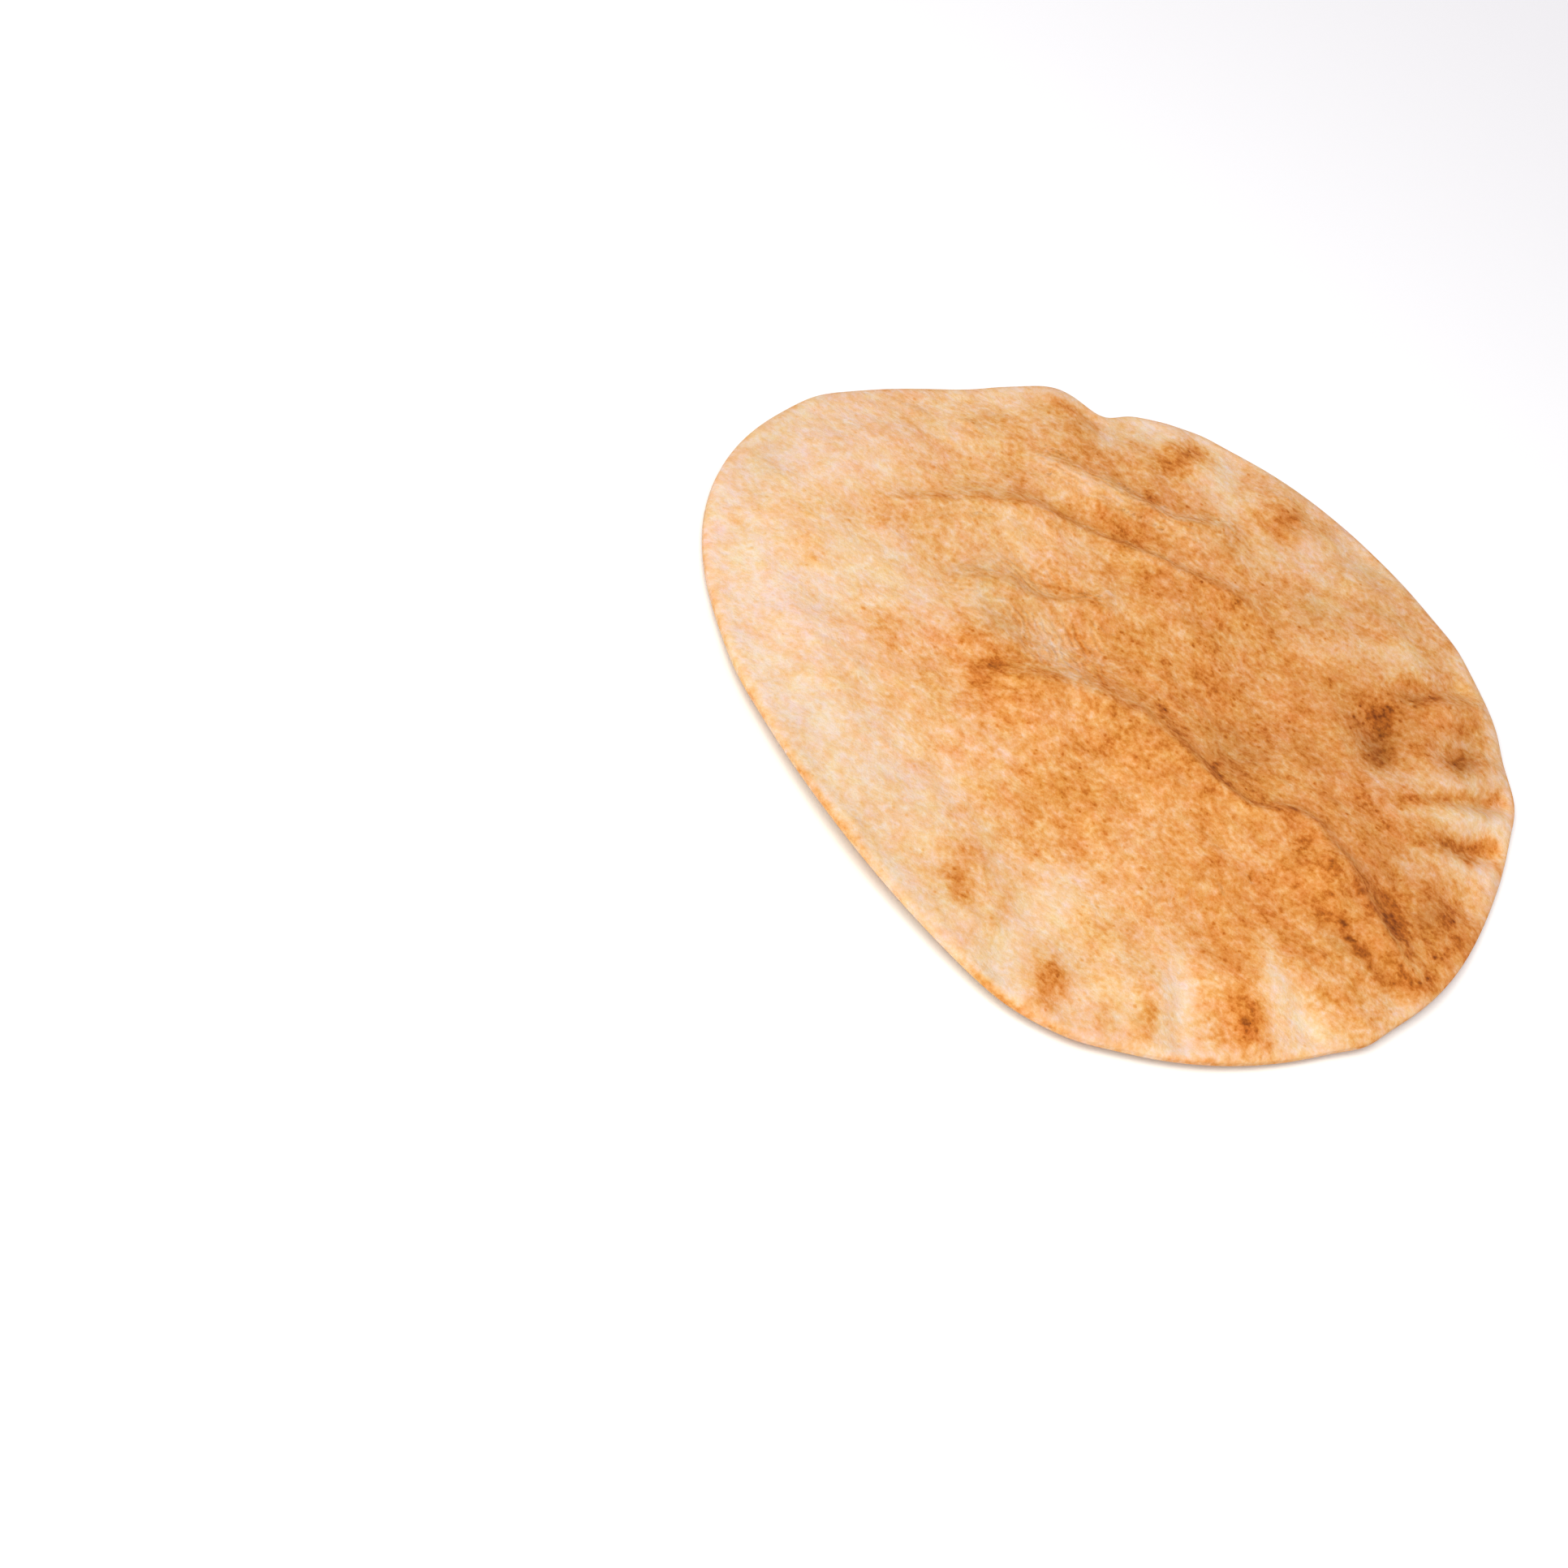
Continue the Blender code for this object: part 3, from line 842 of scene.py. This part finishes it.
def blister_domes(tree, place, given):
    """Scattered blisters: how far up a dome each point is, 0 to 1, and its height there."""
    scale = work_out(tree, "DIVIDE", 1.0, given["Blister Size"])
    scatter = {"Vector": place, "W": given["Seed"], "Scale": scale}
    wobble = add_node(tree, "ShaderNodeTexNoise", scatter, noise_dimensions="4D").outputs["Color"]
    reach = work_out(tree, "MULTIPLY", given["Blister Size"], BLISTER_WOBBLE)
    scatter["Vector"] = work_out_vector(tree, "ADD", place, scaled(tree, wobble, reach))
    cells = add_node(tree, "ShaderNodeTexVoronoi", scatter, voronoi_dimensions="4D").outputs
    chance = add_node(tree, "FunctionNodeSeparateColor", {0: cells["Color"]}).outputs
    width = work_out(tree, "MULTIPLY_ADD", chance["Green"], BLISTER_EXTRA_WIDTH, BLISTER_LEAST_WIDTH)
    far = work_out(tree, "DIVIDE", cells["Distance"], width)
    dome = work_out(tree, "SUBTRACT", 1.0, work_out(tree, "MULTIPLY", far, far), clamp=True)
    chosen = work_out(tree, "LESS_THAN", chance["Red"], given["Blister Share"])
    dome = work_out(tree, "MULTIPLY", dome, chosen)
    rise = work_out(tree, "ADD", chance["Blue"], BLISTER_LEAST_RISE)
    rise = work_out(tree, "MULTIPLY", given["Blister Height"], rise)
    return dome, work_out(tree, "MULTIPLY", dome, rise)


def relief_tree():
    """Geometry Nodes: lumps, blisters and pitting pushed out of the skin along its
    normals, no lower than the surface that the bread lies on."""
    tree = bpy.data.node_groups.new("crust_relief", "GeometryNodeTree")
    face = tree.interface
    face.new_socket("Geometry", in_out="INPUT", socket_type="NodeSocketGeometry")
    for name, value in RELIEF_INPUTS.items():
        face.new_socket(name, in_out="INPUT", socket_type="NodeSocketFloat").default_value = value
    face.new_socket("Crust", in_out="INPUT", socket_type="NodeSocketMaterial")
    face.new_socket("Geometry", in_out="OUTPUT", socket_type="NodeSocketGeometry")
    given = add_node(tree, "NodeGroupInput").outputs
    place = add_node(tree, "GeometryNodeInputPosition").outputs[0]

    lumps = relief_noise(tree, place, given, "Lump", 1.0)
    pitting = relief_noise(tree, place, given, "Pitting", 2.0)
    dome, blisters = blister_domes(tree, place, given)
    relief = add_node(tree, "GeometryNodeInputNamedAttribute", {"Name": "relief"}, data_type="FLOAT")
    height = work_out(tree, "ADD", work_out(tree, "ADD", lumps, pitting), blisters)
    height = work_out(tree, "MULTIPLY", height, relief.outputs["Attribute"])
    push = scaled(tree, add_node(tree, "GeometryNodeInputNormal").outputs[0], height)

    def then(kind, geometry, **inputs):
        """The next step: a node that takes the geometry and gives it back changed."""
        return add_node(tree, kind, {"Geometry": geometry, **inputs}).outputs[0]

    pushed = then("GeometryNodeSetPosition", given["Geometry"], Offset=push)
    above = work_out_vector(tree, "MAXIMUM", place, (-1.0, -1.0, 0.0))
    rested = then("GeometryNodeSetPosition", pushed, Position=above)
    marked = then("GeometryNodeStoreNamedAttribute", rested, Name="blister", Value=dome)
    real = then("GeometryNodeRealizeInstances", marked)
    finished = then("GeometryNodeSetMaterial", real, Material=given["Crust"])
    add_node(tree, "NodeGroupOutput", {"Geometry": finished})
    return tree


def raise_relief(piece, crust):
    """Runs the relief over the piece and keeps the result as a plain mesh."""
    tree = relief_tree()
    modifier = piece.modifiers.new("crust relief", "NODES")
    modifier.node_group = tree
    sockets = {item.name: item.identifier for item in tree.interface.items_tree if item.in_out == "INPUT"}
    for name, value in RELIEF_INPUTS.items():
        modifier[sockets[name]] = value
    modifier[sockets["Crust"]] = crust
    depsgraph = bpy.context.evaluated_depsgraph_get()
    mesh = bpy.data.meshes.new_from_object(
        piece.evaluated_get(depsgraph), preserve_all_data_layers=True, depsgraph=depsgraph
    )
    piece.modifiers.clear()
    piece.data = mesh
    mesh.name = piece.name


# ------------------------------------------------------------------ material
# Colours of the crust by browning, from floury dough to scorched crust
CRUST_COLOURS = [
    (0.00, (0.75, 0.58, 0.46)),
    (0.12, (0.75, 0.525, 0.355)),
    (0.22, (0.745, 0.475, 0.275)),
    (0.42, (0.72, 0.385, 0.162)),
    (0.62, (0.665, 0.29, 0.085)),
    (0.82, (0.60, 0.213, 0.040)),
    (1.00, (0.47, 0.130, 0.014)),
    (1.30, (0.20, 0.044, 0.005)),
]
RAMP_LOW = -0.10
RAMP_HIGH = 1.40

# Fine marks of the crust: size in mm, and how much browner they make it
FINE_SPECKLE = (1.7, 1.15)
BROAD_SPECKLE = (5.5, 0.65)
PORES = (2.2, -0.22)
SPECKS = (3.0, 0.24)
SPECK_SHARE = 0.42              # share of the cells that have a dark speck
SPECK_LEAST_WIDTH = 0.10        # half width of the smallest, in cells
SPECK_EXTRA_WIDTH = 0.16
SPECKLE_ON_FLOUR = 0.58         # share of the speckle that shows on the palest skin
BLISTER_BROWNING = 0.05

WRINKLE_SPACING = 2.7           # from one fine wrinkle to the next, in mm
WRINKLE_STRAY = 9.0             # how far they wander, in mm
WRINKLE_BROWNING = -0.08

# Greener and redder patches: size in mm, strength
BROAD_GREEN = (16.0, 0.22)
FINE_GREEN = (3.4, 0.24)

ROUGHNESS_FLOURY = 0.82
ROUGHNESS_SCORCHED = 0.62
GRAIN_SIZE = 0.9                # in mm
GRAIN_HEIGHT = 0.30 * MM
SPECKLE_HEIGHT = 0.22 * MM
WRINKLE_HEIGHT = 0.17 * MM
BUMP_STRENGTH = 0.8


def carried(tree, name):
    """A value that the points of the skin carry."""
    return add_node(tree, "ShaderNodeAttribute", attribute_name=name).outputs["Fac"]


def crust_noise(tree, place, size, detail, roughness=0.55):
    """Random values about 0, with features of this size in mm."""
    inputs = {"Vector": place, "Scale": 1.0 / (size * MM), "Detail": detail, "Roughness": roughness}
    value = add_node(tree, "ShaderNodeTexNoise", inputs).outputs[0]
    return work_out(tree, "SUBTRACT", value, 0.5)


def crust_cells(tree, place, size):
    """Random cells of this size in mm."""
    return add_node(tree, "ShaderNodeTexVoronoi", {"Vector": place, "Scale": 1.0 / (size * MM)}).outputs


def blend_by(tree, value, low, high, at_low, at_high):
    """Goes softly from one amount to another as the value goes from low to high."""
    inputs = {"Value": value, "From Min": low, "From Max": high, "To Min": at_low, "To Max": at_high}
    return add_node(tree, "ShaderNodeMapRange", inputs, interpolation_type="SMOOTHSTEP").outputs[0]


def dark_specks(tree, place, size):
    """Small soft round specks in some of the cells, 0 to 1."""
    cells = crust_cells(tree, place, size)
    chance = add_node(tree, "ShaderNodeSeparateColor", {0: cells["Color"]}).outputs
    reach = work_out(tree, "MULTIPLY_ADD", chance["Green"], SPECK_EXTRA_WIDTH, SPECK_LEAST_WIDTH)
    dots = blend_by(tree, work_out(tree, "DIVIDE", cells["Distance"], reach), 0.35, 1.3, 1.0, 0.0)
    return work_out(tree, "MULTIPLY", dots, work_out(tree, "LESS_THAN", chance["Red"], SPECK_SHARE))


def crust_speckle(tree, place):
    """Fine and broad speckle, pores and dark specks, as browning to add."""
    size, amount = FINE_SPECKLE
    speckle = work_out(tree, "MULTIPLY", crust_noise(tree, place, size, 3.0, 0.62), amount)
    size, amount = PORES
    pores = work_out(tree, "SUBTRACT", crust_cells(tree, place, size)["Distance"], 0.45)
    speckle = work_out(tree, "MULTIPLY_ADD", pores, amount, speckle)
    size, amount = BROAD_SPECKLE
    speckle = work_out(tree, "MULTIPLY_ADD", crust_noise(tree, place, size, 2.0), amount, speckle)
    size, amount = SPECKS
    return work_out(tree, "MULTIPLY_ADD", dark_specks(tree, place, size), amount, speckle)


def wrinkle_wave(tree, place):
    """The fine wrinkles, as a wave that wanders and is broken here and there."""
    wander = crust_noise(tree, place, 9.0, 3.0)
    across = work_out(tree, "MULTIPLY_ADD", wander, WRINKLE_STRAY, carried(tree, "wrinkle_place"))
    wave = work_out(tree, "SINE", work_out(tree, "MULTIPLY", across, math.tau / WRINKLE_SPACING))
    unbroken = blend_by(tree, crust_noise(tree, place, 6.0, 1.0), -0.22, 0.10, 0.1, 1.0)
    strength = work_out(tree, "MULTIPLY", carried(tree, "wrinkles"), unbroken)
    return work_out(tree, "MULTIPLY", wave, strength)


def crust_colour(tree, place, browning):
    """The colour of a browning, times the skin's random brightness with its painted shade and light, and its
    greener patches.
    """
    span = RAMP_HIGH - RAMP_LOW
    share = work_out(tree, "MULTIPLY_ADD", browning, 1.0 / span, -RAMP_LOW / span)
    ramp = add_node(tree, "ShaderNodeValToRGB", {"Fac": share})
    steps = ramp.color_ramp.elements
    while len(steps) < len(CRUST_COLOURS):
        steps.new(0.5)
    for step, (amount, colour) in zip(steps, CRUST_COLOURS):
        step.position = (amount - RAMP_LOW) / span
        step.color = (*colour, 1.0)
    green = 1.0
    for size, amount in (BROAD_GREEN, FINE_GREEN):
        green = work_out(tree, "MULTIPLY_ADD", crust_noise(tree, place, size, 2.0), amount, green)
    # the colour is scaled by the carried brightness, which holds painted shade and painted light as well as
    # random variation
    tone_and_painted_shade = carried(tree, "tone_and_painted_shade")
    green = work_out(tree, "MULTIPLY", green, tone_and_painted_shade)
    tint = add_node(tree, "ShaderNodeCombineColor", {"Red": tone_and_painted_shade, "Green": green, "Blue": tone_and_painted_shade})
    return work_out_vector(tree, "MULTIPLY", ramp.outputs["Color"], tint.outputs[0])


def crust_bump(tree, place, speckle, wave):
    """Normals of the finest grain, the speckle and the wrinkles."""
    height = work_out(tree, "MULTIPLY", crust_noise(tree, place, GRAIN_SIZE, 4.0, 0.65), GRAIN_HEIGHT)
    height = work_out(tree, "MULTIPLY_ADD", speckle, SPECKLE_HEIGHT, height)
    height = work_out(tree, "MULTIPLY_ADD", wave, WRINKLE_HEIGHT, height)
    inputs = {"Height": height, "Strength": BUMP_STRENGTH, "Distance": 1.0}
    return add_node(tree, "ShaderNodeBump", inputs).outputs[0]


def crust_material():
    """Baked flatbread: browning with fine speckle, pores and wrinkles, dull and slightly
    translucent."""
    material = bpy.data.materials.new("baked_crust")
    material.use_nodes = True
    tree = material.node_tree
    shader = tree.nodes["Principled BSDF"]
    place = add_node(tree, "ShaderNodeTexCoord").outputs["Object"]
    browning = carried(tree, "browning")
    speckle = crust_speckle(tree, place)
    wave = wrinkle_wave(tree, place)
    shown = blend_by(tree, browning, 0.10, 0.60, SPECKLE_ON_FLOUR, 1.0)
    spotted = work_out(tree, "MULTIPLY_ADD", speckle, shown, browning)
    spotted = work_out(tree, "MULTIPLY_ADD", carried(tree, "blister"), BLISTER_BROWNING, spotted)
    spotted = work_out(tree, "MULTIPLY_ADD", wave, WRINKLE_BROWNING, spotted)
    dullness = blend_by(tree, browning, 0.1, 1.0, ROUGHNESS_FLOURY, ROUGHNESS_SCORCHED)
    plug(tree, crust_colour(tree, place, spotted), shader.inputs["Base Color"])
    plug(tree, dullness, shader.inputs["Roughness"])
    plug(tree, crust_bump(tree, place, speckle, wave), shader.inputs["Normal"])
    shader.inputs["Specular IOR Level"].default_value = 0.08
    shader.inputs["Subsurface Weight"].default_value = 0.06
    shader.inputs["Subsurface Radius"].default_value = (1.0, 0.45, 0.2)
    shader.inputs["Subsurface Scale"].default_value = 2.5 * MM
    return material


# ------------------------------------------------------------------ light, floor and camera
FLOOR_HALF = 3.0                # half the floor's side, in metres
FLOOR_COLOUR = (0.97, 0.97, 0.97, 1.0)
SKY_STRENGTH = 0.715
SKY_COLOUR = (0.945, 0.900, 0.967)
KEY_PLACE = (-0.12, -0.64, 0.76)
KEY_SIZE = 0.42
KEY_POWER = 8.5
KEY_COLOUR = (0.924, 0.972, 0.898)

LENS = 85.0
SENSOR = 36.0
CAMERA_HEIGHT = 40.2            # elevation in degrees
CAMERA_ROLL = 34.8              # the view is turned this far about its own axis, in degrees
CAMERA_DISTANCE = 1.010
BREAD_IN_VIEW = (0.7174, 0.4434)  # where the bread's middle stands in the frame
BREAD_MIDDLE = 0.005            # height of that middle


def floor_material():
    """A dull, nearly white surface."""
    material = bpy.data.materials.new("pale_floor")
    material.use_nodes = True
    shader = material.node_tree.nodes["Principled BSDF"]
    shader.inputs["Base Color"].default_value = FLOOR_COLOUR
    shader.inputs["Roughness"].default_value = 0.7
    shader.inputs["Specular IOR Level"].default_value = 0.2
    return material


def add_floor():
    """The surface that the bread lies on, which isn't part of the bread."""
    mesh = bpy.data.meshes.new("floor")
    bm = bmesh.new()
    bmesh.ops.create_grid(bm, x_segments=1, y_segments=1, size=FLOOR_HALF)
    bm.to_mesh(mesh)
    bm.free()
    mesh.materials.append(floor_material())
    floor = bpy.data.objects.new("floor", mesh)
    bpy.context.scene.collection.objects.link(floor)
    floor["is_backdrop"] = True


def add_key_light():
    """A square soft light in front of the bread and above it, which faces it."""
    light = bpy.data.lights.new("key_light", "AREA")
    light.shape = "SQUARE"
    light.size = KEY_SIZE
    light.energy = KEY_POWER
    light.color = KEY_COLOUR
    holder = bpy.data.objects.new("key_light", light)
    holder.location = KEY_PLACE
    holder.rotation_euler = (-Vector(KEY_PLACE)).to_track_quat("-Z", "Y").to_euler()
    bpy.context.scene.collection.objects.link(holder)


def add_sky():
    """Even light from all round."""
    world = bpy.data.worlds.new("studio")
    world.use_nodes = True
    background = world.node_tree.nodes["Background"]
    background.inputs["Color"].default_value = (*SKY_COLOUR, 1.0)
    background.inputs["Strength"].default_value = SKY_STRENGTH
    bpy.context.scene.world = world


def add_camera():
    """Looks down at the bread from the front, turned about its own axis, with the
    bread's middle at its place in the frame."""
    height = math.radians(CAMERA_HEIGHT)
    back = Vector((0.0, -math.cos(height), math.sin(height)))
    right = Vector((1.0, 0.0, 0.0))
    turned = Matrix((right, back.cross(right), back)).transposed()
    turned @= Matrix.Rotation(math.radians(CAMERA_ROLL), 3, "Z")
    across = (BREAD_IN_VIEW[0] - 0.5) * SENSOR / LENS
    up = (0.5 - BREAD_IN_VIEW[1]) * SENSOR / LENS
    turned @= Matrix.Rotation(math.atan(across), 3, "Y")
    turned @= Matrix.Rotation(-math.atan(up), 3, "X")
    centre = footprint_centre()
    target = Vector((-centre[0], -centre[1], BREAD_MIDDLE))
    camera = bpy.data.cameras.new("camera")
    camera.lens = LENS
    camera.sensor_width = SENSOR
    holder = bpy.data.objects.new("camera", camera)
    holder.matrix_world = Matrix.Translation(target + back * CAMERA_DISTANCE) @ turned.to_4x4()
    bpy.context.scene.collection.objects.link(holder)
    bpy.context.scene.camera = holder


# ------------------------------------------------------------------ the whole scene
bread = pressed_bread()
raise_relief(bread, crust_material())
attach(bread, "root")
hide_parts("pita")

add_floor()
add_sky()
add_key_light()
add_camera()
bpy.context.scene.view_settings.view_transform = "Standard"

boxes = {"cad": cad_box, "visual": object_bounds()}
boxes = {name: [list(corner) for corner in box] for name, box in boxes.items()}
